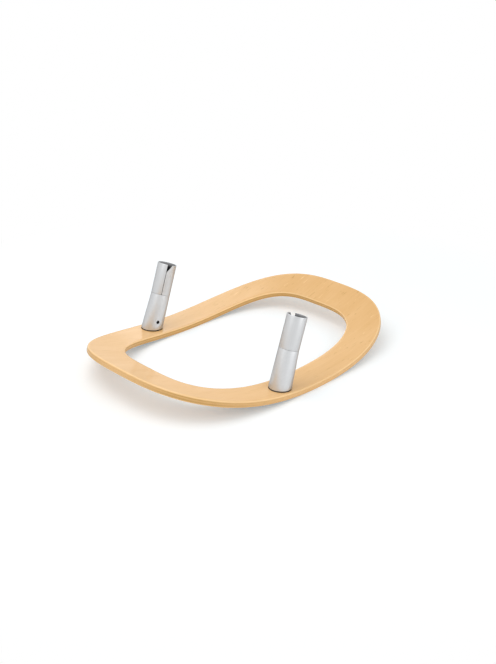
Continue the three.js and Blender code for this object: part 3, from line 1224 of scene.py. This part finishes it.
class AddStage(bpy.types.Operator):
    """Adds the floor, the lights and the camera."""

    bl_idname = "rocking_base.add_stage"
    bl_label = "Add stage"

    def execute(self, context):
        settings = context.scene.rocking_stage
        add_floor(settings)
        add_world(settings)
        add_lamps()
        add_camera()
        context.scene.view_settings.view_transform = "Standard"
        return {"FINISHED"}


# Stage


def seen_plainly(graph):
    """1 for rays that show the background: from the camera, in gloss or through glass."""
    path = graph.add("ShaderNodeLightPath").outputs
    seen = graph.calc("MAXIMUM", path["Is Camera Ray"], path["Is Glossy Ray"])
    return graph.calc("MAXIMUM", seen, path["Is Transmission Ray"])


def add_floor(settings):
    """A white floor that keeps the object's shadow and is clear when seen from below."""
    deselect()
    bpy.ops.mesh.primitive_plane_add(size=settings.floor_size, location=(0, 0, 0))
    floor = settle(start("floor", bpy.context.object))
    material, graph = new_material("Floor")
    direct = graph.add("ShaderNodeLightPath").outputs["Is Camera Ray"]
    seen = seen_plainly(graph)
    shade = graph.blend(direct, FLOOR_COLOUR, FLOOR_TINT)
    gleam = graph.blend(direct, NEUTRAL_GLOW, FLOOR_GLOW)
    paper = graph.add("ShaderNodeBsdfDiffuse", {"Color": shade}).outputs[0]
    lift = graph.times(seen, FLOOR_LIFT)
    glow = graph.add("ShaderNodeEmission", {"Color": gleam, "Strength": lift}).outputs[0]
    near = graph.add("ShaderNodeAddShader", {0: paper, 1: glow}).outputs[0]
    white = graph.add("ShaderNodeEmission", {"Color": WHITE, "Strength": 1.0}).outputs[0]
    away = graph.length(object_place(graph))
    far_share = graph.times(graph.between(away, FLOOR_NEAR, FLOOR_FAR), seen)
    both = graph.add("ShaderNodeMixShader", {0: far_share, 1: near, 2: white}).outputs[0]
    below = graph.add("ShaderNodeNewGeometry").outputs["Backfacing"]
    clear = graph.add("ShaderNodeBsdfTransparent").outputs[0]
    one_sided = graph.add("ShaderNodeMixShader", {0: below, 1: both, 2: clear}).outputs[0]
    close_material(graph, one_sided)
    floor.data.materials.append(material)


def add_world(settings):
    """Even white light, and a white background where it is seen."""
    world = bpy.data.worlds.new("Studio")
    world.use_nodes = True
    graph = Graph(world.node_tree)
    strength = graph.line(seen_plainly(graph), 1 - settings.ambient, settings.ambient)
    sky = graph.add("ShaderNodeBackground", {"Color": WHITE, "Strength": strength}).outputs[0]
    graph.add("ShaderNodeOutputWorld", {"Surface": sky})
    bpy.context.scene.world = world


def add_lamp(name, place, aim, size, power):
    """A soft square lamp that points at a spot."""
    light = bpy.data.lights.new(name, "AREA")
    light.shape = "SQUARE"
    light.size = size
    light.energy = power
    lamp = bpy.data.objects.new(name, light)
    bpy.context.scene.collection.objects.link(lamp)
    lamp.location = place
    lamp.rotation_euler = (Vector(aim) - Vector(place)).to_track_quat("-Z", "Y").to_euler()


def add_lamps():
    """Soft lights above the front left, in front, at the back left and to the right."""
    add_lamp("overhead_light", place=(-0.35, -0.55, 1.9), aim=(0, 0, 0), size=1.5, power=11.5)
    add_lamp("front_light", place=(-0.05, -1.5, 1.1), aim=(-0.05, 0, 0.1), size=0.8, power=1.6)
    add_lamp("back_light", place=(-1.9, 1.3, 1.05), aim=(-0.1, 0, 0), size=1.2, power=4.8)
    add_lamp("right_light", place=(1.9, 0.5, 0.8), aim=(0, 0, 0.05), size=1.6, power=7.5)


def add_camera():
    """The camera, aimed from the photograph's direction with its slight roll."""
    data = bpy.data.cameras.new("Camera")
    data.sensor_fit = "VERTICAL"
    data.sensor_height = PICTURE_HEIGHT
    data.lens = CAMERA_LENS
    camera = bpy.data.objects.new("Camera", data)
    bpy.context.scene.collection.objects.link(camera)
    level = math.cos(CAMERA_RISE)
    back = Vector(
        (math.sin(CAMERA_TURN) * level, -math.cos(CAMERA_TURN) * level, math.sin(CAMERA_RISE))
    )
    right = Vector((math.cos(CAMERA_TURN), math.sin(CAMERA_TURN), 0))
    up = back.cross(right)
    turned_right = right * math.cos(CAMERA_ROLL) + up * math.sin(CAMERA_ROLL)
    turned_up = up * math.cos(CAMERA_ROLL) - right * math.sin(CAMERA_ROLL)
    place = Matrix((turned_right, turned_up, back)).transposed().to_4x4()
    place.translation = CAMERA_TARGET + back * CAMERA_DISTANCE
    camera.matrix_world = place
    bpy.context.scene.camera = camera


# Panel and registration


class SidePanel(bpy.types.Panel):
    """Lists the pieces and their settings."""

    bl_idname = "VIEW3D_PT_rocking_base"
    bl_label = "Rocking base"
    bl_space_type = "VIEW_3D"
    bl_region_type = "UI"
    bl_category = "Rocking base"

    def draw(self, context):
        layout = self.layout
        for group_name, _ in SETTINGS:
            group = getattr(context.scene, group_name)
            for name in group.__annotations__:
                layout.prop(group, name)
        for operator in OPERATORS:
            layout.operator(operator.bl_idname)


SETTINGS = (
    ("rocking_ring", RingSettings),
    ("rocking_posts", PostSettings),
    ("rocking_stage", StageSettings),
)
OPERATORS = (AddRing, AddFeet, AddSleeves, AddCores, FinishHardware, AddStage)


def register():
    """Registers the settings, the operators and the panel."""
    for name, group in SETTINGS:
        bpy.utils.register_class(group)
        setattr(bpy.types.Scene, name, bpy.props.PointerProperty(type=group))
    for operator in OPERATORS:
        bpy.utils.register_class(operator)
    bpy.utils.register_class(SidePanel)


def unregister():
    """Takes all of it away again."""
    bpy.utils.unregister_class(SidePanel)
    for operator in reversed(OPERATORS):
        bpy.utils.unregister_class(operator)
    for name, group in reversed(SETTINGS):
        delattr(bpy.types.Scene, name)
        bpy.utils.unregister_class(group)


def main():
    """Builds every piece in order."""
    register()
    bpy.ops.rocking_base.add_ring()
    bpy.ops.rocking_base.add_feet()
    bpy.ops.rocking_base.add_sleeves()
    bpy.ops.rocking_base.add_cores()
    bpy.ops.rocking_base.finish_hardware()
    bpy.ops.rocking_base.add_stage()


if __name__ == "__main__":
    main()
